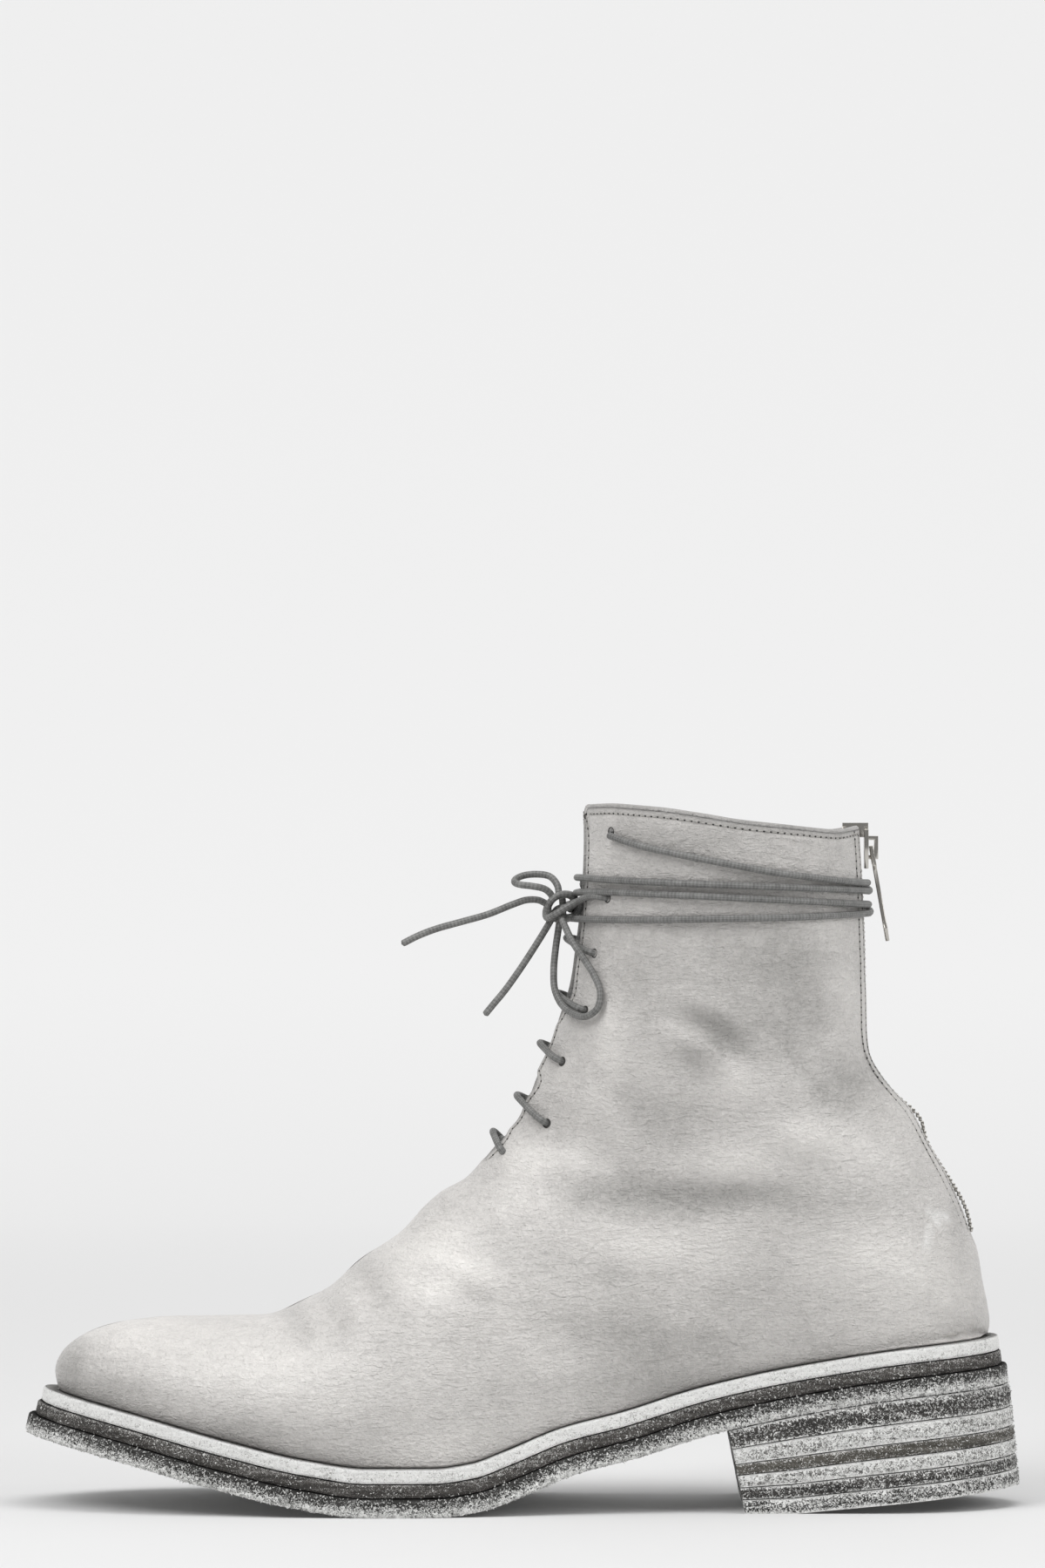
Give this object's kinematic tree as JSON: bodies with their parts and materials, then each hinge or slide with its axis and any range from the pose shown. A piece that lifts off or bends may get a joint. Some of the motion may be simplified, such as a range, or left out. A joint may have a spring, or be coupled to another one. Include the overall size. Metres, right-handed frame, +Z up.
{
  "type": "lace-up boot",
  "caption": "Lace-up ankle boot of washed leather on a stacked sole, its laces wound round the shaft and tied in a bow, with a zip up the back.",
  "frame": {"origin": "on the floor, halfway between toe and heel and on the middle of the sole's width", "axes": "+X from toe to heel, +Z up; the outer side of the foot faces -Y"},
  "size_m": [0.2998, 0.1059, 0.2102],
  "materials": {
    "upper_leather": "pale grey washed leather, waxed by hand",
    "insole_leather": "undyed leather",
    "welt_leather": "leather brushed with white finish, worn at the joints",
    "sole_leather": "dark waxed edge, dusted white",
    "sole_rubber": "dark crumb rubber with pale specks",
    "lace_cord": "round waxed cotton cord",
    "zip_tape": "woven tape",
    "zip_metal": "polished nickel plate"
  },
  "bodies": {
    "boot": {"outsole": "sole_rubber", "midsole": "sole_leather", "welt": "welt_leather", "insole": "insole_leather", "heel_lift_1": "sole_leather", "heel_lift_2": "sole_leather", "heel_lift_3": "sole_leather", "heel_lift_4": "sole_leather", "heel_lift_5": "sole_leather", "top_lift": "sole_rubber", "upper": "upper_leather", "tongue": "upper_leather", "lace_crossing_1": "lace_cord", "lace_crossing_2": "lace_cord", "lace_crossing_3": "lace_cord", "lace_crossing_4": "lace_cord", "lace_crossing_5": "lace_cord", "lace_crossing_6": "lace_cord", "lace_run_near": "lace_cord", "lace_run_far": "lace_cord", "lace_knot": "lace_cord", "lace_loop_up": "lace_cord", "lace_loop_down": "lace_cord", "lace_end_left": "lace_cord", "lace_end_down": "lace_cord", "zip_tape": "zip_tape", "zip_teeth": "zip_metal", "zip_slider": "zip_metal"},
    "zip_pull": {"zip_pull": "zip_metal"}
  },
  "joints": [
    {"name": "pull_swing", "type": "hinge", "parent": "boot", "child": "zip_pull", "pos_m": [0.10544, 0, 0.198], "axis": [0, -1, 0], "range_deg": [0, 150]}
  ]
}
